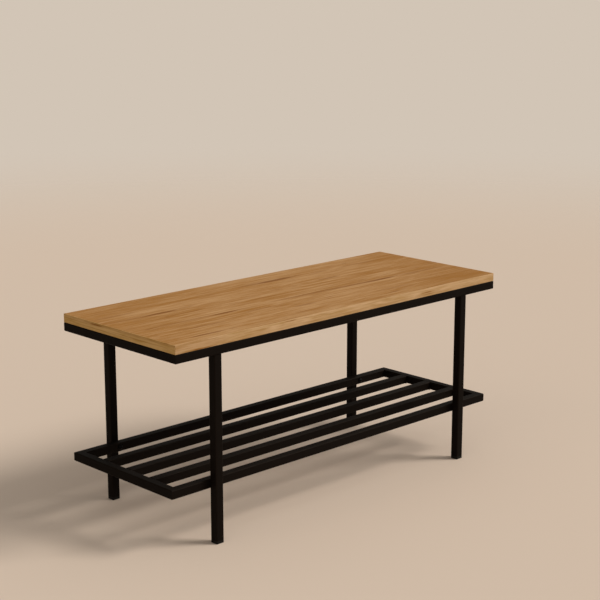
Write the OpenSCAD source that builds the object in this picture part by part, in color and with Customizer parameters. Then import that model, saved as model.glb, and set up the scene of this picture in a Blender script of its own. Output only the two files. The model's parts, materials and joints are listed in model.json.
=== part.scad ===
// Entryway bench: an oak faced seat on a square tube frame, with a slatted shelf between the legs.
// Millimetres. X runs along the bench, -Y is its front, Z is up, and the origin is on the floor
// under the middle of the seat.

/* [Overall size] */
// Length from end to end
bench_length = 1000; // [900:10:1400]
// Depth from front to back
bench_depth = 380; // [320:10:450]
// Height of the seat above the floor
bench_height = 450; // [400:5:520]

/* [Seat board] */
// Thickness of the finished board
seat_thickness = 19; // [18:1:28]
// Thickness of the oak face, and of the sheet under the board that balances it
veneer_thickness = 0.6; // [0.5:0.1:1]
// Thickness of the oak strips along the board's edges
edge_band_thickness = 1; // [0.8:0.1:2]

/* [Steel tube] */
// Outer width of the square tube
tube_width = 20; // [20:1:30]
// Wall thickness of the tube
tube_wall = 1.5; // [1.2:0.1:2]
// Outer radius of the tube's corners
tube_corner_radius = 2.5; // [2.2:0.1:3]

/* [Legs and feet] */
// Distance from the end of the bench to the near side of a leg
leg_inset = 102; // [60:1:200]
// Height of the plastic cap that shows under a leg
foot_cap_height = 7; // [4:0.5:12]

/* [Shelf] */
// Height of the shelf's top above the floor
shelf_height = 140; // [90:5:250]

/* [Fixings] */
// Diameter of the screws that hold the board
board_screw_diameter = 4; // [3.5:0.5:4.5]
// Distance between the screws along the long rails
board_screw_spacing = 300; // [200:10:320]

/* [Hidden] */

$fn = 48;
// How far a cutting shape runs past the face that it cuts
overcut = 5;

// Colours of the finishes
oak = "#a87d50";
chipboard = "#b59a72";
balancing_paper = "#8b6f4e";
powder_coat = "#191614";
black_plastic = "#0f0e0d";
zinc = "#aeb2b5";
black_oxide = "#242326";

// Heights
seat_bottom = bench_height - seat_thickness;
rail_bottom = seat_bottom - tube_width;
rail_middle = seat_bottom - tube_width / 2;
shelf_middle = shelf_height - tube_width / 2;

// Places of the legs, from the middle of the bench to the middle of a leg
leg_x = bench_length / 2 - leg_inset - tube_width / 2;
leg_y = bench_depth / 2 - tube_width / 2;

// Inside of the tube
tube_bore = tube_width - 2 * tube_wall;
tube_bore_radius = tube_corner_radius - tube_wall;

// The core and its faces stop where the edge bands begin
core_length = bench_length - 2 * edge_band_thickness;
core_depth = bench_depth - 2 * edge_band_thickness;
band_edge_radius = 0.5;

// The shelf is a ring between the front and back legs, with slats spread evenly inside it
inner_depth = bench_depth - 2 * tube_width;
slat_count = 3;
slat_pitch = (inner_depth - tube_width) / (slat_count + 1);
slat_length = bench_length - 2 * tube_width;

// Foot inserts
foot_edge_radius = 1.5;
insert_height = 16;
insert_core = tube_bore - 3;
insert_wall = 1.8;
rib_height = 1.2;
rib_pitch = 5;
rib_count = 3;

// M6 bolts, with their washers, nuts and holes
bolt_diameter = 6;
bolt_hole = 6.6;
bolt_point = 0.8;
washer_diameter = 12;
washer_hole = 6.4;
washer_thickness = 1.6;
leg_bolt_length = 16;
leg_bolt_head_diameter = 10;
leg_bolt_head_height = 6;
leg_bolt_socket = 5;
leg_bolt_socket_depth = 3;
leg_bolt_access = 13;
nut_plate_thickness = 5;
shelf_bolt_length = 35;
shelf_bolt_head_diameter = 10.5;
shelf_bolt_head_height = 3.3;
shelf_bolt_socket = 4;
shelf_bolt_socket_depth = 2;
rivet_nut_diameter = 9;
rivet_nut_bulge = 12;
rivet_nut_bulge_length = 4;
rivet_nut_length = 12.5;

// Pan head screws for the board
board_screw_bite = seat_thickness - 4;
board_screw_hole = board_screw_diameter + 0.5;
board_screw_point = 5;
board_screw_tip_diameter = 0.8;
board_screw_head_diameter = 2 * board_screw_diameter;
board_screw_head_height = 2.4;
cross_slot_length = 4.4;
cross_slot_width = 1;
cross_slot_depth = 1.5;
board_screw_places = concat(
  [for (step = [-1, 0, 1], end = [-1, 1]) [step * board_screw_spacing, end * leg_y]],
  [for (end = [-1, 1]) [end * (bench_length - tube_width) / 2, 0]],
  [for (end = [-1, 1]) [end * leg_x, 0]]
);

// ---- Shapes that several pieces share ----

// A square with rounded corners, centred
module rounded_square(width, radius) {
  flat = width - 2 * radius;
  square([width, flat], center = true);
  square([flat, width], center = true);
  for (x = [-1, 1], y = [-1, 1])
    translate([x * flat / 2, y * flat / 2])
      circle(radius);
}

// A slab whose two lower corners are rounded, standing on the X axis
module round_footed(width, height, radius) {
  translate([-width / 2, radius])
    square([width, height - radius]);
  translate([radius - width / 2, 0])
    square([width - 2 * radius, height]);
  for (x = [-1, 1])
    translate([x * (width / 2 - radius), radius])
      circle(radius);
}

// What two runs of a section have in common, one along X and one along Y
module for_both_ways() {
  intersection() {
    rotate([90, 0, 0])
      linear_extrude(2 * tube_width, center = true)
        children();
    rotate([90, 0, 90])
      linear_extrude(2 * tube_width, center = true)
        children();
  }
}

module tube_section() {
  difference() {
    rounded_square(tube_width, tube_corner_radius);
    rounded_square(tube_bore, tube_bore_radius);
  }
}

// A length of tube along X
module tube(length) {
  rotate([90, 0, 90])
    linear_extrude(length, center = true)
      tube_section();
}

// A tube along X with mitred ends, whose long face looks to -Y
module mitred_tube(length) {
  end = length / 2 + overcut;
  side = tube_width / 2 + overcut;
  inner_end = end - 2 * side;
  intersection() {
    tube(length);
    linear_extrude(2 * tube_width, center = true)
      polygon([[-end, -side], [end, -side], [inner_end, side], [-inner_end, side]]);
  }
}

function side_angle(side) =
  side == "front" ? 0 :
  side == "right" ? 90 :
  side == "back" ? 180 : 270;

// Moves a piece that looks to -Y out to one side of a rectangle
module to_side(side, length, depth) {
  across = (side == "front" || side == "back") ? depth : length;
  rotate([0, 0, side_angle(side)])
    translate([0, -across / 2, 0])
      children();
}

// Moves a piece to a leg, with +Y of the piece looking to the middle of the bench
module at_leg(x_side, y_side) {
  translate([x_side * leg_x, y_side * leg_y, 0])
    rotate([0, 0, y_side < 0 ? 0 : 180])
      children();
}

module at_each_leg() {
  for (x_side = [-1, 1], y_side = [-1, 1])
    at_leg(x_side, y_side)
      children();
}

// Turns a piece so that its +Z looks to the middle of the bench, and lifts it to the shelf
module at_shelf_joint() {
  translate([0, 0, shelf_middle])
    rotate([-90, 0, 0])
      children();
}

// Round holes for the board screws, from their heads up to a height above the floor
module board_screw_holes(diameter, bottom, top) {
  for (place = board_screw_places)
    translate([place[0], place[1], bottom])
      cylinder(h = top - bottom, d = diameter);
}

// A threaded shank that hangs from the origin
module shank(length) {
  translate([0, 0, bolt_point - length])
    cylinder(h = length - bolt_point, d = bolt_diameter);
  translate([0, 0, -length])
    cylinder(h = bolt_point, d1 = bolt_diameter - 2 * bolt_point, d2 = bolt_diameter);
}

// The top of a ball: the head of a button head bolt or a pan head screw
module domed_head(diameter, height) {
  ball = (diameter * diameter / 4 + height * height) / (2 * height);
  intersection() {
    translate([0, 0, height - ball])
      sphere(ball);
    cylinder(h = height, d = diameter);
  }
}

// A six-sided key socket, by its width across the flats
module hex_socket(across_flats, depth) {
  cylinder(h = depth, d = across_flats / cos(30), $fn = 6);
}

module washer() {
  difference() {
    cylinder(h = washer_thickness, d = washer_diameter);
    translate([0, 0, -overcut])
      cylinder(h = washer_thickness + 2 * overcut, d = washer_hole);
  }
}

// ---- Seat board ----

module seat_sheet(bottom, thickness) {
  translate([0, 0, bottom + thickness / 2])
    cube([core_length, core_depth, thickness], center = true);
}

module seat_core() {
  color(chipboard)
    difference() {
      seat_sheet(seat_bottom + veneer_thickness, seat_thickness - 2 * veneer_thickness);
      board_screw_holes(board_screw_diameter, rail_bottom, seat_bottom + board_screw_bite);
    }
}

module seat_top_veneer() {
  color(oak)
    seat_sheet(bench_height - veneer_thickness, veneer_thickness);
}

module seat_backing_sheet() {
  color(balancing_paper)
    difference() {
      seat_sheet(seat_bottom, veneer_thickness);
      board_screw_holes(board_screw_diameter, rail_bottom, seat_bottom + board_screw_bite);
    }
}

// The section of an edge band: outer face at the Y axis, its two corners there rounded
module edge_band_section() {
  inner = edge_band_thickness - band_edge_radius;
  translate([band_edge_radius, 0])
    square([inner, seat_thickness]);
  translate([0, band_edge_radius])
    square([edge_band_thickness, seat_thickness - 2 * band_edge_radius]);
  for (height = [band_edge_radius, seat_thickness - band_edge_radius])
    translate([band_edge_radius, height])
      circle(band_edge_radius);
}

// The seat's outline, with its four corners eased
module seat_outline() {
  radius = band_edge_radius;
  square([bench_length - 2 * radius, bench_depth], center = true);
  square([bench_length, bench_depth - 2 * radius], center = true);
  for (x = [-1, 1], y = [-1, 1])
    translate([x * (bench_length / 2 - radius), y * (bench_depth / 2 - radius)])
      circle(radius);
}

module edge_band(side, length) {
  color(oak)
    intersection() {
      to_side(side, bench_length, bench_depth)
        translate([0, 0, seat_bottom])
          rotate([90, 0, 90])
            linear_extrude(length, center = true)
              edge_band_section();
      translate([0, 0, seat_bottom - overcut])
        linear_extrude(seat_thickness + 2 * overcut)
          seat_outline();
    }
}

// ---- Seat frame ----

// A side of the frame's ring, mitred at both ends
module seat_rail(side, length) {
  color(powder_coat)
    difference() {
      to_side(side, bench_length, bench_depth)
        translate([0, tube_width / 2, rail_middle])
          mitred_tube(length);
      board_screw_holes(board_screw_hole, rail_bottom - overcut, seat_bottom + overcut);
      at_each_leg()
        leg_bolt_holes();
    }
}

// A narrow hole in the rail's bottom wall, and one in its top wall that lets the bolt's head in
module leg_bolt_holes() {
  translate([0, 0, rail_bottom - overcut])
    cylinder(h = tube_width, d = bolt_hole);
  translate([0, 0, rail_middle])
    cylinder(h = tube_width, d = leg_bolt_access);
}

// A rail from the front rail to the back rail, over a pair of legs
module cross_rail(x_side) {
  color(powder_coat)
    difference() {
      translate([x_side * leg_x, 0, rail_middle])
        rotate([0, 0, 90])
          tube(inner_depth);
      board_screw_holes(board_screw_hole, rail_bottom - overcut, seat_bottom + overcut);
    }
}

// ---- Legs and feet ----

module leg(x_side, y_side) {
  color(powder_coat)
    at_leg(x_side, y_side)
      difference() {
        translate([0, 0, foot_cap_height])
          linear_extrude(rail_bottom - foot_cap_height)
            tube_section();
        at_shelf_joint()
          cylinder(h = tube_width, d = rivet_nut_diameter);
      }
}

module foot_cap() {
  intersection() {
    linear_extrude(foot_cap_height)
      rounded_square(tube_width, tube_corner_radius);
    for_both_ways()
      round_footed(tube_width, foot_cap_height + overcut, foot_edge_radius);
  }
}

// The hollow ribbed part that is pressed into the leg
module foot_insert() {
  difference() {
    union() {
      linear_extrude(insert_height)
        square(insert_core, center = true);
      for (rib = [1 : rib_count])
        translate([0, 0, rib * rib_pitch - rib_height])
          linear_extrude(rib_height)
            rounded_square(tube_bore, tube_bore_radius);
    }
    linear_extrude(insert_height + overcut)
      square(insert_core - 2 * insert_wall, center = true);
  }
}

module foot(x_side, y_side) {
  color(black_plastic)
    at_leg(x_side, y_side)
      union() {
        foot_cap();
        translate([0, 0, foot_cap_height])
          foot_insert();
      }
}

// ---- Shelf ----

module shelf_bar(side, length) {
  color(powder_coat)
    difference() {
      to_side(side, bench_length, inner_depth)
        translate([0, tube_width / 2, shelf_middle])
          mitred_tube(length);
      at_each_leg()
        at_shelf_joint()
          cylinder(h = 2 * tube_width, d = bolt_hole);
    }
}

// Slats are counted from the front
module slat(number) {
  color(powder_coat)
    translate([0, (number - (slat_count + 1) / 2) * slat_pitch, shelf_middle])
      tube(slat_length);
}

// ---- Fixings ----

module leg_nut_plates() {
  color(powder_coat)
    at_each_leg()
      translate([0, 0, rail_bottom - nut_plate_thickness])
        linear_extrude(nut_plate_thickness)
          difference() {
            rounded_square(tube_bore, tube_bore_radius);
            circle(d = bolt_diameter);
          }
}

module leg_bolts() {
  color(black_oxide)
    at_each_leg()
      translate([0, 0, rail_bottom + tube_wall + washer_thickness])
        difference() {
          union() {
            shank(leg_bolt_length);
            cylinder(h = leg_bolt_head_height, d = leg_bolt_head_diameter);
          }
          translate([0, 0, leg_bolt_head_height - leg_bolt_socket_depth])
            hex_socket(leg_bolt_socket, leg_bolt_socket_depth + overcut);
        }
}

module leg_bolt_washers() {
  color(zinc)
    at_each_leg()
      translate([0, 0, rail_bottom + tube_wall])
        washer();
}

// Set in the leg's inner wall: a straight body with a bulge behind the wall, and a threaded bore
module shelf_rivet_nuts() {
  bore = bolt_diameter / 2;
  body = rivet_nut_diameter / 2;
  bulge = rivet_nut_bulge / 2;
  bulge_end = tube_wall + rivet_nut_bulge_length;
  color(zinc)
    at_each_leg()
      at_shelf_joint()
        translate([0, 0, tube_width / 2])
          rotate([180, 0, 0])
            rotate_extrude()
              polygon([
                [bore, 0],
                [body, 0],
                [body, tube_wall],
                [bulge, tube_wall],
                [body, bulge_end],
                [body, rivet_nut_length],
                [bore, rivet_nut_length]
              ]);
}

module shelf_bolts() {
  color(black_oxide)
    at_each_leg()
      at_shelf_joint()
        translate([0, 0, tube_width * 3 / 2 + washer_thickness])
          difference() {
            union() {
              shank(shelf_bolt_length);
              domed_head(shelf_bolt_head_diameter, shelf_bolt_head_height);
            }
            translate([0, 0, shelf_bolt_head_height - shelf_bolt_socket_depth])
              hex_socket(shelf_bolt_socket, shelf_bolt_socket_depth + overcut);
          }
}

module shelf_bolt_washers() {
  color(black_oxide)
    at_each_leg()
      at_shelf_joint()
        translate([0, 0, tube_width * 3 / 2])
          washer();
}

// A pan head screw that points up, its head below the origin
module board_screw() {
  reach = tube_width + board_screw_bite;
  difference() {
    union() {
      cylinder(h = reach - board_screw_point, d = board_screw_diameter);
      translate([0, 0, reach - board_screw_point])
        cylinder(h = board_screw_point, d1 = board_screw_diameter, d2 = board_screw_tip_diameter);
      rotate([180, 0, 0])
        domed_head(board_screw_head_diameter, board_screw_head_height);
    }
    for (turn = [0, 90])
      rotate([0, 0, turn])
        translate([0, 0, cross_slot_depth / 2 - board_screw_head_height - overcut / 2])
          cube([cross_slot_length, cross_slot_width, cross_slot_depth + overcut], center = true);
  }
}

module board_screws() {
  color(zinc)
    for (place = board_screw_places)
      translate([place[0], place[1], rail_bottom])
        board_screw();
}

// ---- The pieces ----

seat_core();
seat_top_veneer();
seat_backing_sheet();
edge_band("front", bench_length);  // seat_front_edge_band
edge_band("back", bench_length);  // seat_back_edge_band
edge_band("left", core_depth);  // seat_left_edge_band
edge_band("right", core_depth);  // seat_right_edge_band
seat_rail("front", bench_length);  // seat_front_rail
seat_rail("back", bench_length);  // seat_back_rail
seat_rail("left", bench_depth);  // seat_left_rail
seat_rail("right", bench_depth);  // seat_right_rail
cross_rail(-1);  // left_cross_rail
cross_rail(1);  // right_cross_rail
leg(-1, -1);  // front_left_leg
leg(1, -1);  // front_right_leg
leg(-1, 1);  // back_left_leg
leg(1, 1);  // back_right_leg
foot(-1, -1);  // front_left_foot
foot(1, -1);  // front_right_foot
foot(-1, 1);  // back_left_foot
foot(1, 1);  // back_right_foot
shelf_bar("front", bench_length);  // shelf_front_bar
shelf_bar("back", bench_length);  // shelf_back_bar
shelf_bar("left", inner_depth);  // shelf_left_bar
shelf_bar("right", inner_depth);  // shelf_right_bar
slat(1);  // front_slat
slat(2);  // middle_slat
slat(3);  // back_slat
leg_nut_plates();
leg_bolts();
leg_bolt_washers();
shelf_rivet_nuts();
shelf_bolts();
shelf_bolt_washers();
board_screws();
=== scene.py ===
"""Looks, welds, light and camera for the entryway bench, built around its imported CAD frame."""

import json
import math
import random

import bmesh
import bpy
from bpy.props import FloatProperty, FloatVectorProperty, PointerProperty
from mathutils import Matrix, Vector


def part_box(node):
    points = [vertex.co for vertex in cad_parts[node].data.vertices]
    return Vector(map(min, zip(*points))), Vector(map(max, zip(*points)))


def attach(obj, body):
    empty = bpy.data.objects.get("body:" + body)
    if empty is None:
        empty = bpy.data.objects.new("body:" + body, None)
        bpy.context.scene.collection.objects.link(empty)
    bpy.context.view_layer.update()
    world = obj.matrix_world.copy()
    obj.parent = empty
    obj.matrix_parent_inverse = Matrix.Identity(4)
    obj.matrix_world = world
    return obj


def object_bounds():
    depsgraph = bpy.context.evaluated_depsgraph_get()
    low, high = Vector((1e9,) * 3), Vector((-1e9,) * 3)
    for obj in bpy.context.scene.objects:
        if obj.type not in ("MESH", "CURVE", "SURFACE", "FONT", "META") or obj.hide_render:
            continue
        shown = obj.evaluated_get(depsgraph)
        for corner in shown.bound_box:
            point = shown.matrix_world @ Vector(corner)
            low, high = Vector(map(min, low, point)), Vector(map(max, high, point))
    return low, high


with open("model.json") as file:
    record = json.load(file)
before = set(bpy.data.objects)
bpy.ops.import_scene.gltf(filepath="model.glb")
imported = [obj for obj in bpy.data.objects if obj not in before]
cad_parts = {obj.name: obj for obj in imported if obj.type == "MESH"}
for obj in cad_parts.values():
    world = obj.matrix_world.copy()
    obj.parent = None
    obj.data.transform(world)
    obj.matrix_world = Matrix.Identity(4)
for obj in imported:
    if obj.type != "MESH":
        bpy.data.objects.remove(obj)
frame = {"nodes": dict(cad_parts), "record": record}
CAD_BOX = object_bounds()

bl_info = {
    "name": "Entryway Bench",
    "version": (1, 0, 0),
    "blender": (4, 5, 0),
    "location": "3D View > Sidebar > Bench",
    "description": "Finishes an oak and steel bench and sets it in a plain studio",
    "category": "Object",
}

BODY = "root"
MM = 0.001

# The largest part of a normal, on a face along the axes and well round an edge
FLAT_FACE = 0.99
ROUND_EDGE = 0.75


# ---------------------------------------------------------------- colours and nodes


def linear(code):
    """The linear colour, with alpha, of an sRGB hex colour."""
    channels = [int(code[start:start + 2], 16) / 255 for start in (1, 3, 5)]
    return [c / 12.92 if c <= 0.04045 else ((c + 0.055) / 1.055) ** 2.4 for c in channels] + [1.0]


def add(tree, kind, inputs=(), **settings):
    """Adds a node. Its inputs are named or numbered, and each is a value or a socket to link."""
    node = tree.nodes.new(kind)
    for name, value in settings.items():
        setattr(node, name, value)
    for key, value in dict(inputs).items():
        if isinstance(value, bpy.types.NodeSocket):
            tree.links.new(value, node.inputs[key])
        else:
            node.inputs[key].default_value = value
    return node


def new_material(name):
    """A material with an empty tree, and the socket where its surface goes."""
    material = bpy.data.materials.new(name)
    material.use_nodes = True
    tree = material.node_tree
    tree.nodes.clear()
    return material, tree, add(tree, "ShaderNodeOutputMaterial").inputs["Surface"]


def millimetres(tree):
    """The place on the object, in millimetres."""
    place = add(tree, "ShaderNodeTexCoord").outputs["Object"]
    return add(tree, "ShaderNodeVectorMath", {0: place, 1: (1 / MM,) * 3}, operation="MULTIPLY").outputs[0]


def maths(tree, operation, first, second=0.0, third=0.0):
    """One step of arithmetic on numbers or sockets."""
    return add(tree, "ShaderNodeMath", {0: first, 1: second, 2: third}, operation=operation).outputs[0]


def speckle(tree, place, lengths, detail=2.0, roughness=0.5):
    """Noise from 0 to 1, whose blobs have the given lengths in millimetres along X, Y and Z.

    Detail is the number of finer noises added to it, and roughness is their strength.
    """
    stretch = tuple(1 / length for length in lengths)
    scaled = add(tree, "ShaderNodeVectorMath", {0: place, 1: stretch}, operation="MULTIPLY").outputs[0]
    settings = {"Vector": scaled, "Scale": 1.0, "Detail": detail, "Roughness": roughness}
    return add(tree, "ShaderNodeTexNoise", settings).outputs["Fac"]


def between(tree, value, low, high, start=0.0, end=1.0):
    """Rises smoothly from start to end as the value goes from low to high."""
    inputs = {"Value": value, "From Min": low, "From Max": high, "To Min": start, "To Max": end}
    return add(tree, "ShaderNodeMapRange", inputs, interpolation_type="SMOOTHSTEP").outputs["Result"]


def about(tree, noise, middle, span):
    """A number that varies by a span about its middle as a noise goes from 0 to 1."""
    return maths(tree, "MULTIPLY_ADD", noise, span, middle - span / 2)


def tint(tree, amount, under, over):
    """Lays one colour over another by an amount from 0 to 1."""
    return add(tree, "ShaderNodeMix", {"Factor": amount, 6: under, 7: over}, data_type="RGBA").outputs[2]


def rounded_edges(tree):
    """From 0 on faces that look along X, Y or Z to 1 on the rounded edges between them."""
    normal = add(tree, "ShaderNodeNewGeometry").outputs["Normal"]
    size = add(tree, "ShaderNodeVectorMath", {0: normal}, operation="ABSOLUTE").outputs[0]
    parts = add(tree, "ShaderNodeSeparateXYZ", {0: size}).outputs
    largest = maths(tree, "MAXIMUM", maths(tree, "MAXIMUM", parts[0], parts[1]), parts[2])
    return between(tree, largest, FLAT_FACE, ROUND_EDGE)


def bumped(tree, height, depth):
    """A surface normal for a relief of the given depth in millimetres."""
    inputs = {"Height": height, "Distance": depth * MM, "Strength": 1.0}
    return add(tree, "ShaderNodeBump", inputs).outputs["Normal"]


# ---------------------------------------------------------------- settings


class OakLook(bpy.types.PropertyGroup):
    """Colours and figure of the oak."""

    pale: FloatVectorProperty(
        name="Pale wood", description="Dense late wood", subtype="COLOR", size=4, min=0, max=1,
        default=linear("#be9769"))
    warm: FloatVectorProperty(
        name="Warm wood", description="Open early wood", subtype="COLOR", size=4, min=0, max=1,
        default=linear("#9a681d"))
    streak: FloatVectorProperty(
        name="Streaks", description="Mineral streaks", subtype="COLOR", size=4, min=0, max=1,
        default=linear("#7f4e06"))
    edge_pale: FloatVectorProperty(
        name="Long strips, pale", description="Late wood of the strips along the front and back edges",
        subtype="COLOR", size=4, min=0, max=1, default=linear("#c2a37d"))
    edge_warm: FloatVectorProperty(
        name="Long strips, warm", description="Early wood of the strips along the front and back edges",
        subtype="COLOR", size=4, min=0, max=1, default=linear("#a58351"))
    end_pale: FloatVectorProperty(
        name="End strips, pale", description="Late wood of the strips at the two ends", subtype="COLOR",
        size=4, min=0, max=1, default=linear("#c3a069"))
    end_warm: FloatVectorProperty(
        name="End strips, warm", description="Early wood of the strips at the two ends", subtype="COLOR",
        size=4, min=0, max=1, default=linear("#a98443"))
    ring: FloatProperty(
        name="Growth ring", description="Width of a growth ring", unit="LENGTH", default=3.2 * MM)
    lacquer: FloatProperty(
        name="Lacquer roughness", description="Roughness of the matt lacquer", subtype="FACTOR",
        default=0.55)


class SteelLook(bpy.types.PropertyGroup):
    """Colours of the steel, and the size of its welds."""

    coat: FloatVectorProperty(
        name="Powder coat", description="Colour of the powder coat", subtype="COLOR", size=4, min=0, max=1,
        default=linear("#0f0a07"))
    # Rubbed edges: wear in the scuffs, and a painted highlight along every rounded edge
    rubbed_and_highlit: FloatVectorProperty(
        name="Rubbed and highlit edges", description="Colour of the coat on its rounded edges, worn and with a painted highlight", subtype="COLOR", size=4,
        min=0, max=1, default=linear("#1d150f"))
    gloss: FloatProperty(
        name="Coat roughness", description="Roughness of the powder coat", subtype="FACTOR", default=0.58)
    bead: FloatProperty(
        name="Weld bead", description="Radius of a weld bead", unit="LENGTH", default=1.5 * MM)
    ripple: FloatProperty(
        name="Weld ripple", description="Distance between a weld's ripples", unit="LENGTH", default=1.5 * MM)


class StudioSetup(bpy.types.PropertyGroup):
    """Floor, light and camera."""

    floor: FloatVectorProperty(
        name="Floor", description="Colour of the floor", subtype="COLOR", size=4, min=0, max=1,
        default=linear("#d6cac0"))
    sky: FloatVectorProperty(
        name="Surroundings", description="Colour of the light from all round", subtype="COLOR", size=4,
        min=0, max=1, default=linear("#efe6da"))
    backdrop: FloatVectorProperty(
        name="Backdrop", description="Colour behind the bench", subtype="COLOR", size=4, min=0, max=1,
        default=linear("#d2c5b6"))
    azimuth: FloatProperty(
        name="Azimuth", description="Camera's direction round the bench", subtype="ANGLE",
        default=math.radians(-43.95))
    elevation: FloatProperty(
        name="Elevation", description="Camera's height above the horizon", subtype="ANGLE",
        default=math.radians(13.03))
    distance: FloatProperty(
        name="Distance", description="From the camera to the point it looks at", unit="LENGTH",
        default=3.424)
    lens: FloatProperty(
        name="Lens", description="Focal length on a 36 mm sensor", unit="CAMERA", default=87.95)


# ---------------------------------------------------------------- wood materials


def grain_coordinates(tree, runs_along):
    """Millimetres with X along the grain and Y and Z across it."""
    parts = add(tree, "ShaderNodeSeparateXYZ", {0: millimetres(tree)}).outputs
    order = (0, 1, 2) if runs_along == "X" else (1, 0, 2)
    inputs = {slot: parts[axis] for slot, axis in enumerate(order)}
    return add(tree, "ShaderNodeCombineXYZ", inputs).outputs[0]


def moved(tree, place, shift):
    """The place moved by a shift."""
    return add(tree, "ShaderNodeVectorMath", {0: place, 1: shift}, operation="ADD").outputs[0]


# Millimetres along the grain and twice across it, for each scale of the figure
SLOW_WANDER = (600, 120, 120)
QUICK_WANDER = (110, 14, 14)
BANDS = (600, 30, 30)
FACE_STREAKS = (140, 9, 9)
STRIP_STREAKS = (60, 7, 7)
LINES = (60, 3.2, 3.2)
THREADS = (30, 1.4, 1.4)
RING_CHANGES = (500, 14, 14)
WILD_FLAMES = (70, 3.2, 3.2)
FLAME_ZONES = (300, 40, 40)
# Real pores are 0.2 mm wide, and these are 0.4 mm so that they show
PORES = (6, 0.4, 0.4)

# How far the grain wanders across a board, in millimetres, and how much of it the drawn marks follow
SLOW_SPAN = 9.0
QUICK_SPAN = 1.4
MARKS_FOLLOW = 0.4
# Millimetres from one veneer leaf's place in the log to the next one's
LEAF_MOVE = (310.0, 37.0, 11.0)
# Millimetres from the face's back edge to each joint between leaves
LEAF_JOINTS = (86, 231)

# The rings drift to one side by up to this many rings, and early wood fades out over this share of each
RING_SPAN = 3.0
EARLY_SHARE = 0.45

# What each part of the figure adds to the tone, and the tones between which pale wood turns warm
TONE_START = -0.22
TONE_BANDS = 0.45
TONE_STREAKS = 0.76
TONE_LINES = 0.62
TONE_THREADS = 0.3
TONE_EARLY = 0.08
TONE_PATCH_AND_SHEEN = 0.24
STRIP_TONES = (0.60, 1.18)
FACE_TONES = (0.56, 1.20)
# How strongly warm patches (with the painted sheen between them), pores and rubbed edges are tinted
PATCH_AND_SHEEN_TINT = 0.38
PORE_TINT = 0.4
RUB_TINT = 0.35

# Where in their noises flames, their zones and pores begin and are full
FLAME_EDGE = (0.58, 0.76)
ZONE_EDGE = (0.44, 0.58)
PORE_EDGE = (0.60, 0.72)
# Drawn flames are full from this share of their half length inward
FLAME_CORE = 0.55
# Lines and threads together, and how strong a drawn flame is at the two ends of their range
FIBRE_RANGE = (0.75, 1.15, 0.9, 1.3)
# Pores in late wood, and how much more there are in early wood
PORES_LATE = 0.3
PORES_EARLY = 0.7

# The lacquer's roughness varies by this much along the lines, and is higher by this much in a pore
LACQUER_SPAN = 0.10
PORE_ROUGHNESS = 0.2
# How high threads stand, as a share of a pore's depth
THREAD_RELIEF = 0.25

# This board's own figure, with painted light among it: the broad warm patches leave a paler middle that is
# painted sheen, and the left end strip's first line is painted shade along its top edge. Each mark's numbers
# are in millimetres: how far its middle is along the grain from the left or back end, how far across the
# grain from the back edge or the top, its length and its width. The last is its depth from 0 to 1
# The broad patches, 110 mm across and more, warm the two ends, the back left and the front right around a
# paler middle that is a painted sheen
WARM_PATCHES_AND_PAINTED_SHEEN = (
    (60, 40, 700, 110, 0.55), (240, 78, 900, 30, 0.50), (1010, 190, 620, 620, 0.55),
    (960, 340, 520, 200, 0.85), (-20, 190, 420, 620, 0.40), (60, 232, 420, 46, 0.45),
    (760, 150, 420, 24, 0.35), (640, 232, 620, 24, 0.35), (300, 348, 620, 26, 0.30),
    (820, 300, 420, 26, 0.40), (500, 190, 300, 16, 0.25), (420, 262, 260, 14, 0.20))
DARK_FLAMES = (
    (545, 66, 260, 24, 0.35), (556, 68, 150, 16, 0.85), (110, 141, 290, 15, 0.32),
    (150, 142, 120, 12, 0.90), (190, 234, 340, 14, 0.28), (256, 235, 100, 10, 0.85),
    (520, 229, 300, 16, 0.38), (690, 233, 360, 15, 0.36), (742, 235, 150, 12, 0.80),
    (655, 234, 100, 11, 0.55), (862, 235, 100, 10, 0.45), (668, 138, 100, 11, 0.50),
    (110, 350, 120, 12, 0.60), (434, 300, 90, 10, 0.45), (152, 291, 150, 10, 0.40),
    (850, 68, 180, 11, 0.30), (330, 262, 120, 9, 0.30), (930, 236, 110, 10, 0.35),
    (700, 318, 150, 10, 0.30), (60, 96, 150, 10, 0.40))
STRIP_LINES_AND_SHADE = {
    "front": ((40, 9, 240, 30, 0.22), (520, 14, 1300, 6, 0.16), (640, 5, 500, 2, 0.14),
              (240, 8, 300, 2, 0.18)),
    "back": ((300, 8, 700, 4, 0.20), (800, 13, 500, 3, 0.20)),
    # The left end's first mark is a dark band along its top edge: painted shade of the arris
    "left": ((190, 3, 620, 7, 0.24), (262, 10, 260, 2.2, 0.36), (120, 13, 240, 2, 0.28),
             (60, 7, 150, 2.4, 0.25)),
    "right": ((190, 5, 500, 5, 0.20), (120, 12, 300, 2.4, 0.30), (290, 15, 180, 2, 0.28))}


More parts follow.
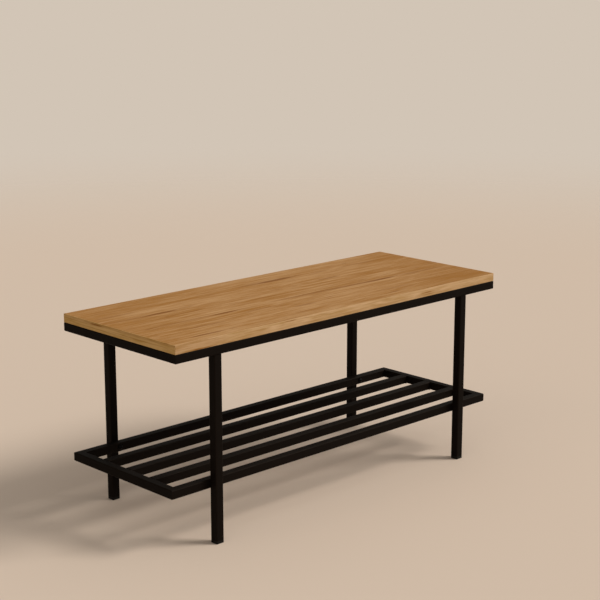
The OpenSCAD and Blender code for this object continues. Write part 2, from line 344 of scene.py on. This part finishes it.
def figure(tree, board, runs_along, place, marks, core=0.0):
    """The deepest of a set of soft, lens shaped marks at each place on a board, from 0 to 1.

    A mark is full from its middle out to its core, a share of its half length, and fades to its rim.
    """
    low, high = (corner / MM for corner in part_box(board))
    if board == "seat_top_veneer":
        start, down = (low.x, high.y, 0), (1, -1, 0)
    elif runs_along == "X":
        start, down = (low.x, 0, high.z), (1, 0, -1)
    else:
        start, down = (high.y, 0, high.z), (-1, 0, -1)
    from_start = add(tree, "ShaderNodeVectorMath", {0: place, 1: start}, operation="SUBTRACT").outputs[0]
    measured = add(tree, "ShaderNodeVectorMath", {0: from_start, 1: down}, operation="MULTIPLY").outputs[0]
    deepest = 0.0
    for along, across, length, width, depth in marks:
        middle = (along, across, 0) if down[1] else (along, 0, across)
        stretch = (2 / length, 2 / width, 2 / width)
        apart = add(tree, "ShaderNodeVectorMath", {0: measured, 1: middle}, operation="SUBTRACT").outputs[0]
        scaled = add(tree, "ShaderNodeVectorMath", {0: apart, 1: stretch}, operation="MULTIPLY").outputs[0]
        reach = add(tree, "ShaderNodeVectorMath", {0: scaled}, operation="LENGTH").outputs["Value"]
        deepest = maths(tree, "MAXIMUM", deepest, between(tree, reach, 1.0, core, 0.0, depth))
    return deepest


def leaf_number(tree, place):
    """Which of the face's veneer leaves a place is on, counted from the front."""
    across = add(tree, "ShaderNodeSeparateXYZ", {0: place}).outputs[1]
    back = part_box("seat_top_veneer")[1].y / MM
    number = 0.0
    for from_back in LEAF_JOINTS:
        number = maths(tree, "ADD", number, maths(tree, "GREATER_THAN", across, back - from_back))
    return number


def oak(name, look, board, runs_along, start, pale, warm):
    """Sliced oak veneer under a matt lacquer.

    The eye gets quiet bands, finer growth lines, short dark mineral flames, and up close the open
    pores, which a thin lacquer leaves as fine furrows.
    """
    material, tree, surface = new_material(name)
    place = grain_coordinates(tree, runs_along)
    is_face = board == "seat_top_veneer"

    # The grain wanders a few millimetres to either side along a board
    shifted = moved(tree, place, start)
    wander = about(tree, speckle(tree, shifted, SLOW_WANDER, detail=1.0), 0.0, SLOW_SPAN)
    quick = speckle(tree, shifted, QUICK_WANDER, detail=1.0)
    waver = maths(tree, "MULTIPLY_ADD", quick, QUICK_SPAN, wander)
    aside = add(tree, "ShaderNodeCombineXYZ", {1: waver, 2: waver}).outputs[0]
    grain = moved(tree, shifted, aside)
    if is_face:
        # The face is laid from leaves of one log, side by side, so each joint moves the grain
        leaf = leaf_number(tree, place)
        move = add(tree, "ShaderNodeVectorMath", {0: LEAF_MOVE, "Scale": leaf}, operation="SCALE")
        grain = moved(tree, grain, move.outputs[0])

    bands = speckle(tree, grain, BANDS)
    streaks = speckle(tree, grain, FACE_STREAKS if is_face else STRIP_STREAKS)
    lines = speckle(tree, grain, LINES, roughness=0.6)
    threads = speckle(tree, grain, THREADS, detail=1.0)

    # Growth rings as a soft saw-tooth across the grain, uneven in width
    across = add(tree, "ShaderNodeSeparateXYZ", {0: grain}).outputs[1]
    uneven = maths(tree, "MULTIPLY", speckle(tree, grain, RING_CHANGES, detail=1.0), RING_SPAN)
    turns = maths(tree, "MULTIPLY_ADD", across, MM / look.ring, uneven)
    early = between(tree, maths(tree, "FRACT", turns), EARLY_SHARE, 0.0)

    tone = maths(tree, "MULTIPLY_ADD", bands, TONE_BANDS, TONE_START)
    tone = maths(tree, "MULTIPLY_ADD", streaks, TONE_STREAKS, tone)
    tone = maths(tree, "MULTIPLY_ADD", lines, TONE_LINES, tone)
    tone = maths(tree, "MULTIPLY_ADD", threads, TONE_THREADS, tone)
    tone = maths(tree, "MULTIPLY_ADD", early, TONE_EARLY, tone)
    if is_face:
        # Warm patches deepen the tone, and tint what lies over them so that its lines still show. The broad
        # ones leave a paler middle on the seat, a painted sheen
        patch_and_sheen = figure(tree, board, runs_along, place, WARM_PATCHES_AND_PAINTED_SHEEN)
        tone = maths(tree, "MULTIPLY_ADD", patch_and_sheen, TONE_PATCH_AND_SHEEN, tone)
        colour = tint(tree, between(tree, tone, *FACE_TONES), pale, warm)
        colour = tint(tree, maths(tree, "MULTIPLY", patch_and_sheen, PATCH_AND_SHEEN_TINT), colour, warm)
    else:
        colour = tint(tree, between(tree, tone, *STRIP_TONES), pale, warm)

    # Mineral flames, some at random and some drawn: narrow dark marks that end in points
    wild = speckle(tree, grain, WILD_FLAMES)
    zones = speckle(tree, grain, FLAME_ZONES, detail=1.0)
    dark = maths(tree, "MULTIPLY", between(tree, wild, *FLAME_EDGE), between(tree, zones, *ZONE_EDGE))
    # On the left end strip the first drawn mark is painted shade along its top edge
    marks = DARK_FLAMES if is_face else STRIP_LINES_AND_SHADE[board.split("_")[1]]
    partly = maths(tree, "MULTIPLY", waver, MARKS_FOLLOW)
    follow = moved(tree, place, add(tree, "ShaderNodeCombineXYZ", {1: partly}).outputs[0])
    fibrous = between(tree, maths(tree, "ADD", lines, threads), *FIBRE_RANGE)
    drawn = figure(tree, board, runs_along, follow, marks, FLAME_CORE)
    drawn = maths(tree, "MULTIPLY", drawn, fibrous)
    colour = tint(tree, maths(tree, "MAXIMUM", dark, drawn), colour, look.streak)

    # Pores are furrows along the grain, most of them in the early wood
    furrows = between(tree, speckle(tree, grain, PORES, detail=1.0), *PORE_EDGE)
    pores = maths(tree, "MULTIPLY", furrows, maths(tree, "MULTIPLY_ADD", early, PORES_EARLY, PORES_LATE))
    colour = tint(tree, maths(tree, "MULTIPLY", pores, PORE_TINT), colour, look.streak)

    # Edges that hands and legs rub are a little darker
    colour = tint(tree, maths(tree, "MULTIPLY", rounded_edges(tree), RUB_TINT), colour, warm)

    sheen = about(tree, lines, look.lacquer, LACQUER_SPAN)
    rough = maths(tree, "MULTIPLY_ADD", pores, PORE_ROUGHNESS, sheen)
    relief = maths(tree, "MULTIPLY_ADD", threads, THREAD_RELIEF, maths(tree, "MULTIPLY", pores, -1.0))
    shader = add(tree, "ShaderNodeBsdfPrincipled", {
        "Base Color": colour, "Roughness": rough, "IOR": 1.5, "Specular IOR Level": 0.18,
        "Normal": bumped(tree, relief, depth=0.08)})
    tree.links.new(shader.outputs[0], surface)
    return material


# Millimetres across a chip and a grain of wood dust
CHIP = 3
WOOD_DUST = (0.8, 0.8, 0.8)
# Millimetres along the paper's printed grain and across it, and the same for its fibres
PRINTED_GRAIN = (160, 3, 3)
PAPER_FIBRES = (1.2, 0.9, 0.9)
# Where in its noise the print begins and is full
PRINT_EDGE = (0.35, 0.7)
PAPER_ROUGHNESS = 0.55
PAPER_SPAN = 0.1


def chipboard(name):
    """Pressed chipboard, raw: the eye gets a mat of pale and brown chips about 3 mm across."""
    material, tree, surface = new_material(name)
    place = millimetres(tree)
    chips = add(tree, "ShaderNodeTexVoronoi", {"Vector": place, "Scale": 1 / CHIP}).outputs["Color"]
    shade = add(tree, "ShaderNodeSeparateColor", {0: chips}).outputs[0]
    colour = tint(tree, shade, linear("#8f7048"), linear("#c8a877"))
    dust = speckle(tree, place, WOOD_DUST, detail=3.0)
    shader = add(tree, "ShaderNodeBsdfPrincipled", {
        "Base Color": colour, "Roughness": 0.85, "IOR": 1.5, "Normal": bumped(tree, dust, depth=0.3)})
    tree.links.new(shader.outputs[0], surface)
    return material


def balancing_paper(name):
    """Melamine paper on the underside: dull, flat and brown, with a faint printed grain."""
    material, tree, surface = new_material(name)
    place = millimetres(tree)
    print_lines = speckle(tree, place, PRINTED_GRAIN, detail=3.0, roughness=0.6)
    fibres = speckle(tree, place, PAPER_FIBRES)
    colour = tint(tree, between(tree, print_lines, *PRINT_EDGE), linear("#a3835c"), linear("#866743"))
    rough = about(tree, fibres, PAPER_ROUGHNESS, PAPER_SPAN)
    shader = add(tree, "ShaderNodeBsdfPrincipled", {
        "Base Color": colour, "Roughness": rough, "IOR": 1.5, "Normal": bumped(tree, fibres, depth=0.03)})
    tree.links.new(shader.outputs[0], surface)
    return material


# ---------------------------------------------------------------- metal and plastic materials


# Millimetres across each pattern. The coat's real texture is about 0.3 mm and the plastic's spark grain
# 0.1 mm; both are drawn coarser so that they show
COAT_TEXTURE = (0.7, 0.7, 0.7)
COAT_CLOUDS = (60, 60, 60)
COAT_SCUFFS = (9, 9, 9)
SPARK_GRAIN = (0.35, 0.35, 0.35)
FLOOR_DUST = (4, 4, 4)
PLATE_MOTTLE = (2.5, 2.5, 2.5)
PLATE_GRAIN = (0.3, 0.3, 0.3)

# Where scuffs begin and are full, how much painted highlight every rounded edge gets without one, and what
# wear one adds
SCUFF_EDGE = (0.5, 0.7)
PAINTED_EDGE_HIGHLIGHT = 0.4
WORN_BY_SCUFFS = 0.6
# The clouds change the coat's roughness by this much, and wear smooths it by this much
COAT_SPAN = 0.14
WORN_SMOOTHER = 0.12
# Dust lies on the feet up to this height in millimetres, and hides this much of them
DUST_TOP = 3.0
DUST_TINT = 0.3
PLASTIC_ROUGHNESS = 0.55
PLASTIC_SPAN = 0.2
# Where in its noise the plate's mottle begins and is full, and how much it changes the roughness
MOTTLE_EDGE = (0.35, 0.65)
PLATE_SPAN = 0.2


def powder_coat(name, look, wear_and_highlight=1.0):
    """Matt black polyester powder baked on steel.

    The eye gets a very dark, faintly warm skin with a fine leathery texture, a soft sheen that
    varies a little along each tube, and lighter rounded corners: a painted highlight along every one,
    and wear polished by handling in the scuffs.
    """
    material, tree, surface = new_material(name)
    place = millimetres(tree)
    texture = speckle(tree, place, COAT_TEXTURE)
    clouds = speckle(tree, place, COAT_CLOUDS, detail=3.0)
    scuffs = between(tree, speckle(tree, place, COAT_SCUFFS, detail=4.0, roughness=0.7), *SCUFF_EDGE)
    # Every rounded edge gets a painted highlight, and the scuffs add wear to it
    worn_and_highlit = maths(tree, "MULTIPLY_ADD", scuffs, WORN_BY_SCUFFS * wear_and_highlight, PAINTED_EDGE_HIGHLIGHT * wear_and_highlight)
    rub_and_highlight = maths(tree, "MULTIPLY", rounded_edges(tree), worn_and_highlit)
    colour = tint(tree, rub_and_highlight, look.coat, look.rubbed_and_highlit)
    rough = maths(tree, "MULTIPLY_ADD", rub_and_highlight, -WORN_SMOOTHER, about(tree, clouds, look.gloss, COAT_SPAN))
    shader = add(tree, "ShaderNodeBsdfPrincipled", {
        "Base Color": colour, "Roughness": rough, "IOR": 1.5, "Specular IOR Level": 0.05,
        "Normal": bumped(tree, texture, depth=0.06)})
    tree.links.new(shader.outputs[0], surface)
    return material


def moulded_plastic(name):
    """Injection moulded polypropylene: near black, with the mould's fine spark grain and dust low down."""
    material, tree, surface = new_material(name)
    place = millimetres(tree)
    grain = speckle(tree, place, SPARK_GRAIN, detail=1.0)
    height = add(tree, "ShaderNodeSeparateXYZ", {0: place}).outputs[2]
    low_down = between(tree, height, DUST_TOP, 0.0)
    dust = maths(tree, "MULTIPLY", low_down, speckle(tree, place, FLOOR_DUST, detail=3.0))
    colour = tint(tree, maths(tree, "MULTIPLY", dust, DUST_TINT), linear("#0c0b0a"), linear("#3a342e"))
    rough = about(tree, grain, PLASTIC_ROUGHNESS, PLASTIC_SPAN)
    shader = add(tree, "ShaderNodeBsdfPrincipled", {
        "Base Color": colour, "Roughness": rough, "IOR": 1.49, "Specular IOR Level": 0.15,
        "Normal": bumped(tree, grain, depth=0.05)})
    tree.links.new(shader.outputs[0], surface)
    return material


def plated_steel(name, bright, dull, roughness):
    """Steel with a thin finish from a bath: a soft metal shine, mottled where the bath took unevenly."""
    material, tree, surface = new_material(name)
    place = millimetres(tree)
    mottle = speckle(tree, place, PLATE_MOTTLE, detail=3.0)
    colour = tint(tree, between(tree, mottle, *MOTTLE_EDGE), bright, dull)
    rough = about(tree, mottle, roughness, PLATE_SPAN)
    fine = speckle(tree, place, PLATE_GRAIN, detail=1.0)
    shader = add(tree, "ShaderNodeBsdfPrincipled", {
        "Base Color": colour, "Metallic": 1.0, "Roughness": rough,
        "Normal": bumped(tree, fine, depth=0.01)})
    tree.links.new(shader.outputs[0], surface)
    return material


# ---------------------------------------------------------------- giving finishes to pieces


def finish_node(node, material):
    """Puts a material on a CAD node."""
    piece = frame["nodes"][node]
    piece.data.materials.clear()
    piece.data.materials.append(material)


def nodes_in(slot):
    """The CAD nodes that the record gives a material slot."""
    return [row["node"] for row in frame["record"]["subparts"] if row["material_slot"] == slot]


# Each strip's direction, and the millimetres between its place in the log and the face's
STRIP_PLACES = {
    "front": ("X", (400, 900, 0)),
    "back": ("X", (900, 500, 0)),
    "left": ("Y", (1500, 700, 0)),
    "right": ("Y", (2500, 300, 0))}
ZINC_ROUGHNESS = 0.32
OXIDE_ROUGHNESS = 0.5


class BENCH_OT_seat(bpy.types.Operator):
    """Gives the seat board its oak face, edge strips, core and backing"""

    bl_idname = "bench.seat"
    bl_label = "Oak Seat"

    def execute(self, context):
        look = context.scene.bench_oak
        face = oak("oak_face_veneer", look, "seat_top_veneer", "X", (0, 0, 0), look.pale, look.warm)
        finish_node("seat_top_veneer", face)
        colours = {"X": (look.edge_pale, look.edge_warm), "Y": (look.end_pale, look.end_warm)}
        for side, (runs_along, start) in STRIP_PLACES.items():
            board = f"seat_{side}_edge_band"
            strip = oak(f"oak_{side}_edge_strip", look, board, runs_along, start, *colours[runs_along])
            finish_node(board, strip)
        finish_node("seat_core", chipboard("pressed_chipboard"))
        finish_node("seat_backing_sheet", balancing_paper("melamine_paper"))
        return {"FINISHED"}


class BENCH_OT_frame(bpy.types.Operator):
    """Powder coats the rails, legs, shelf bars and slats"""

    bl_idname = "bench.frame"
    bl_label = "Steel Frame"

    def execute(self, context):
        coat = powder_coat("black_powder_coat", context.scene.bench_steel)
        for node in nodes_in("black_powder_coat"):
            finish_node(node, coat)
        return {"FINISHED"}


class BENCH_OT_feet(bpy.types.Operator):
    """Gives the feet their moulded plastic"""

    bl_idname = "bench.feet"
    bl_label = "Feet"

    def execute(self, context):
        plastic = moulded_plastic("moulded_polypropylene")
        for node in nodes_in("black_plastic"):
            finish_node(node, plastic)
        return {"FINISHED"}


class BENCH_OT_fixings(bpy.types.Operator):
    """Gives the bolts, washers, nuts and screws their plated finishes"""

    bl_idname = "bench.fixings"
    bl_label = "Fixings"

    def execute(self, context):
        zinc = plated_steel("bright_zinc_plate", linear("#c9ccd0"), linear("#a9a79d"), ZINC_ROUGHNESS)
        oxide = plated_steel("black_oxide", linear("#1c1b1b"), linear("#121111"), OXIDE_ROUGHNESS)
        for node in nodes_in("zinc_plated_steel"):
            finish_node(node, zinc)
        for node in nodes_in("black_oxide_steel"):
            finish_node(node, oxide)
        return {"FINISHED"}


# ---------------------------------------------------------------- welds

WELD_SEED = 7
BEAD_SIDES = 10
BEAD_STEP = 0.4 * MM
TUBE_CORNER = 2.5 * MM
ARC_STEPS = 6
# Shares of a bead's radius: how deep its ripples are and how uneven it is
RIPPLE_DEPTH = 0.14
UNEVENNESS = 0.03
# How blunt a bead's ends are, as the square of a share of its radius
BLUNT_END = 0.05


def evenly_spaced(corners, step):
    """Points along straight runs between corners, a step apart."""
    points = [corners[0]]
    for start, end in zip(corners, corners[1:]):
        count = max(1, round((end - start).length / step))
        points += [start.lerp(end, number / count) for number in range(1, count + 1)]
    return points


def add_bead(mesh, corners, look, chance):
    """Adds one rippled weld bead that follows the corners of its joint."""
    points = evenly_spaced(corners, BEAD_STEP)
    phase = chance.uniform(0, math.tau)
    rings = []
    for number, point in enumerate(points):
        before = points[max(number - 1, 0)]
        after = points[min(number + 1, len(points) - 1)]
        along = (after - before).normalized()
        side = along.orthogonal().normalized()
        other = along.cross(side)
        run = number * BEAD_STEP
        ripple = abs(math.sin(math.pi * run / look.ripple + phase))
        to_end = min(number, len(points) - 1 - number) * BEAD_STEP / look.bead
        taper = math.sqrt(max(BLUNT_END, 1 - (1 - min(to_end, 1)) ** 2))
        rippled = 1 - RIPPLE_DEPTH + RIPPLE_DEPTH * ripple
        radius = look.bead * taper * rippled * chance.uniform(1 - UNEVENNESS, 1 + UNEVENNESS)
        ring = []
        for spoke in range(BEAD_SIDES):
            angle = math.tau * spoke / BEAD_SIDES
            ring.append(mesh.verts.new(point + radius * (side * math.cos(angle) + other * math.sin(angle))))
        rings.append(ring)
    for first, second in zip(rings, rings[1:]):
        for spoke in range(BEAD_SIDES):
            after = (spoke + 1) % BEAD_SIDES
            mesh.faces.new((first[spoke], first[after], second[after], second[spoke]))
    mesh.faces.new(reversed(rings[0]))
    mesh.faces.new(rings[-1])


def cup_outline(half, top):
    """A tube's outline from high on one side, down, under and up the other: pairs of across and up."""
    reach = half - TUBE_CORNER
    angles = [math.pi / 2 * step / ARC_STEPS for step in range(ARC_STEPS + 1)]
    left = [(-reach - TUBE_CORNER * math.cos(a), -reach - TUBE_CORNER * math.sin(a)) for a in angles]
    right = [(-across, up) for across, up in reversed(left)]
    return [(-half, top), *left, *right, (half, top)]


def weld_piece(name, beads, coat, context):
    """One piece that holds a group of weld beads, coated like the tubes."""
    chance = random.Random(WELD_SEED)
    mesh = bmesh.new()
    for corners in beads:
        add_bead(mesh, corners, context.scene.bench_steel, chance)
    bmesh.ops.recalc_face_normals(mesh, faces=mesh.faces)
    for face in mesh.faces:
        face.smooth = True
    data = bpy.data.meshes.new(name)
    mesh.to_mesh(data)
    mesh.free()
    data.materials.append(coat)
    piece = bpy.data.objects.new(name, data)
    context.scene.collection.objects.link(piece)
    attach(piece, BODY)


def end_welds(node, axis):
    """Beads round the sides and underside of a tube, at both of its butted ends."""
    low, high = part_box(node)
    middle = (low + high) / 2
    half = (high.z - low.z) / 2
    top = half - 2 * TUBE_CORNER
    beads = []
    for end in (low, high):
        corners = []
        for across, up in cup_outline(half, top):
            point = middle + Vector((across, across, up))
            point[axis] = end[axis]
            corners.append(point)
        beads.append(corners)
    return beads


def corner_welds(long_node, short_node):
    """Upright beads in the four inner corners of a ring of tubes."""
    low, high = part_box(long_node)
    tube = high.z - low.z
    reach = max(abs(low.y), abs(high.y)) - tube
    end = max(abs(corner.x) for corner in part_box(short_node)) - tube
    foot = low.z + TUBE_CORNER
    top = high.z - TUBE_CORNER
    return [[Vector((x * end, y * reach, foot)), Vector((x * end, y * reach, top))]
            for x in (-1, 1) for y in (-1, 1)]


class BENCH_OT_welds(bpy.types.Operator):
    """Adds the weld beads that show where tubes meet"""

    bl_idname = "bench.welds"
    bl_label = "Welds"

    def execute(self, context):
        slats = [end_welds(node, 0) for node in ("front_slat", "middle_slat", "back_slat")]
        rails = [end_welds(node, 1) for node in ("left_cross_rail", "right_cross_rail")]
        shelf_corners = corner_welds("shelf_front_bar", "shelf_left_bar")
        seat_corners = corner_welds("seat_front_rail", "seat_left_rail")
        # No hand reaches the welds, so their coat isn't rubbed and gets no painted edge highlight
        coat = powder_coat("black_powder_coat_on_welds", context.scene.bench_steel, wear_and_highlight=0.0)
        weld_piece("slat_welds", sum(slats, []), coat, context)
        weld_piece("cross_rail_welds", sum(rails, []), coat, context)
        weld_piece("shelf_corner_welds", shelf_corners, coat, context)
        weld_piece("seat_frame_corner_welds", seat_corners, coat, context)
        return {"FINISHED"}


# ---------------------------------------------------------------- studio

# Metres from the middle of the floor to its sides, and to where it begins and ends fading
FLOOR_REACH = 7.0
FADE_START = 2.5
FADE_END = 6.5
FLOOR_CELLS = 8

# Each light's name, azimuth, elevation and width in degrees, its strength and its colour
LIGHTS = (
    ("key_light", 47, 39, 22, 2.2, "#fff3e4"),
    ("left_fill", -80, 22, 70, 0.50, "#ffebd0"))
# Where the room's window is, in degrees, and the room's strength away from it and towards it
WINDOW_AZIMUTH = 47
WINDOW_ELEVATION = 20
ROOM_FACING = (-0.9, 0.95)
ROOM_STRENGTH = (0.15, 0.72)

SENSOR_WIDTH = 36.0
# The camera looks just under the seat, a little right of the middle and behind it, in metres
AIM_RIGHT = 0.045
AIM_BACK = 0.019
AIM_DOWN = 0.029


def toward(azimuth, elevation):
    """The direction from the bench out to something at an azimuth and elevation in radians."""
    flat = math.cos(elevation)
    return Vector((math.sin(azimuth) * flat, -math.cos(azimuth) * flat, math.sin(elevation)))


def floor_finish(look):
    """Painted floor: pale and matt, fading into the surroundings, and clear from below."""
    material, tree, surface = new_material("studio_floor_paint")
    place = add(tree, "ShaderNodeTexCoord").outputs["Object"]
    reach = add(tree, "ShaderNodeVectorMath", {0: place}, operation="LENGTH").outputs["Value"]
    fade = between(tree, reach, FADE_START, FADE_END)
    behind = add(tree, "ShaderNodeNewGeometry").outputs["Backfacing"]
    clear = maths(tree, "MAXIMUM", fade, behind)
    paint = add(tree, "ShaderNodeBsdfDiffuse", {"Color": look.floor}).outputs[0]
    nothing = add(tree, "ShaderNodeBsdfTransparent").outputs[0]
    tree.links.new(add(tree, "ShaderNodeMixShader", {0: clear, 1: paint, 2: nothing}).outputs[0], surface)
    return material


def soft_light(context, name, azimuth, elevation, width, strength, colour):
    """A distant light as wide as the given angle, so that its shadows are soft and its light even."""
    light = bpy.data.lights.new(name, "SUN")
    light.angle = math.radians(width)
    light.energy = strength
    light.color = linear(colour)[:3]
    lamp = bpy.data.objects.new(name, light)
    out = toward(math.radians(azimuth), math.radians(elevation))
    lamp.rotation_euler = out.to_track_quat("Z", "Y").to_euler()
    context.scene.collection.objects.link(lamp)


def add_floor(context, look, height):
    """Adds the floor at a height."""
    mesh = bmesh.new()
    bmesh.ops.create_grid(mesh, x_segments=FLOOR_CELLS, y_segments=FLOOR_CELLS, size=FLOOR_REACH)
    data = bpy.data.meshes.new("studio_floor")
    mesh.to_mesh(data)
    mesh.free()
    data.materials.append(floor_finish(look))
    floor = bpy.data.objects.new("studio_floor", data)
    floor.location.z = height
    context.scene.collection.objects.link(floor)


def room_light(look):
    """Soft light from all round, stronger on the window's side, behind a backdrop as pale as the floor."""
    world = bpy.data.worlds.new("studio")
    world.use_nodes = True
    tree = world.node_tree
    tree.nodes.clear()
    seen = add(tree, "ShaderNodeLightPath").outputs["Is Camera Ray"]
    heading = add(tree, "ShaderNodeTexCoord").outputs["Generated"]
    window = toward(math.radians(WINDOW_AZIMUTH), math.radians(WINDOW_ELEVATION))
    facing = add(tree, "ShaderNodeVectorMath", {0: heading, 1: window}, operation="DOT_PRODUCT")
    strength = between(tree, facing.outputs["Value"], *ROOM_FACING, *ROOM_STRENGTH)
    room = add(tree, "ShaderNodeBackground", {"Color": look.sky, "Strength": strength}).outputs[0]
    backdrop = add(tree, "ShaderNodeBackground", {"Color": look.backdrop}).outputs[0]
    mixed = add(tree, "ShaderNodeMixShader", {0: seen, 1: room, 2: backdrop}).outputs[0]
    add(tree, "ShaderNodeOutputWorld", {"Surface": mixed})
    return world


def add_camera(context, look, seat_top):
    """Adds the camera at its direction and distance from the point it looks at."""
    camera = bpy.data.objects.new("camera", bpy.data.cameras.new("camera"))
    camera.data.lens = look.lens
    camera.data.sensor_width = SENSOR_WIDTH
    aim = Vector((AIM_RIGHT, AIM_BACK, seat_top - AIM_DOWN))
    out = toward(look.azimuth, look.elevation)
    camera.location = aim + out * look.distance
    camera.rotation_euler = out.to_track_quat("Z", "Y").to_euler()
    context.scene.collection.objects.link(camera)
    context.scene.camera = camera


class BENCH_OT_studio(bpy.types.Operator):
    """Adds the floor, the light and the camera"""

    bl_idname = "bench.studio"
    bl_label = "Studio"

    def execute(self, context):
        look = context.scene.bench_studio
        low, high = CAD_BOX
        add_floor(context, look, low.z)
        context.scene.world = room_light(look)
        for light in LIGHTS:
            soft_light(context, *light)
        add_camera(context, look, high.z)
        context.scene.view_settings.view_transform = "Standard"
        return {"FINISHED"}


class BENCH_PT_panel(bpy.types.Panel):
    """The bench's steps and settings"""

    bl_label = "Entryway Bench"
    bl_idname = "BENCH_PT_panel"
    bl_space_type = "VIEW_3D"
    bl_region_type = "UI"
    bl_category = "Bench"

    def draw(self, context):
        for step in STEPS:
            self.layout.operator(step.bl_idname)
        for settings in SETTINGS:
            box = self.layout.box()
            group = getattr(context.scene, settings)
            for field in group.bl_rna.properties.keys():
                if field not in ("rna_type", "name"):
                    box.prop(group, field)


STEPS = (BENCH_OT_seat, BENCH_OT_frame, BENCH_OT_feet, BENCH_OT_fixings, BENCH_OT_welds, BENCH_OT_studio)
SETTINGS = {"bench_oak": OakLook, "bench_steel": SteelLook, "bench_studio": StudioSetup}


def register():
    """Adds the settings, the steps and the panel."""
    for settings in SETTINGS.values():
        bpy.utils.register_class(settings)
    for name, settings in SETTINGS.items():
        setattr(bpy.types.Scene, name, PointerProperty(type=settings))
    for step in (*STEPS, BENCH_PT_panel):
        bpy.utils.register_class(step)


def unregister():
    """Takes the panel, the steps and the settings away again."""
    for step in (BENCH_PT_panel, *reversed(STEPS)):
        bpy.utils.unregister_class(step)
    for name, settings in SETTINGS.items():
        delattr(bpy.types.Scene, name)
        bpy.utils.unregister_class(settings)


def main():
    """Builds the whole scene."""
    register()
    bpy.ops.bench.seat()
    bpy.ops.bench.frame()
    bpy.ops.bench.feet()
    bpy.ops.bench.fixings()
    bpy.ops.bench.welds()
    bpy.ops.bench.studio()


if __name__ == "__main__":
    main()
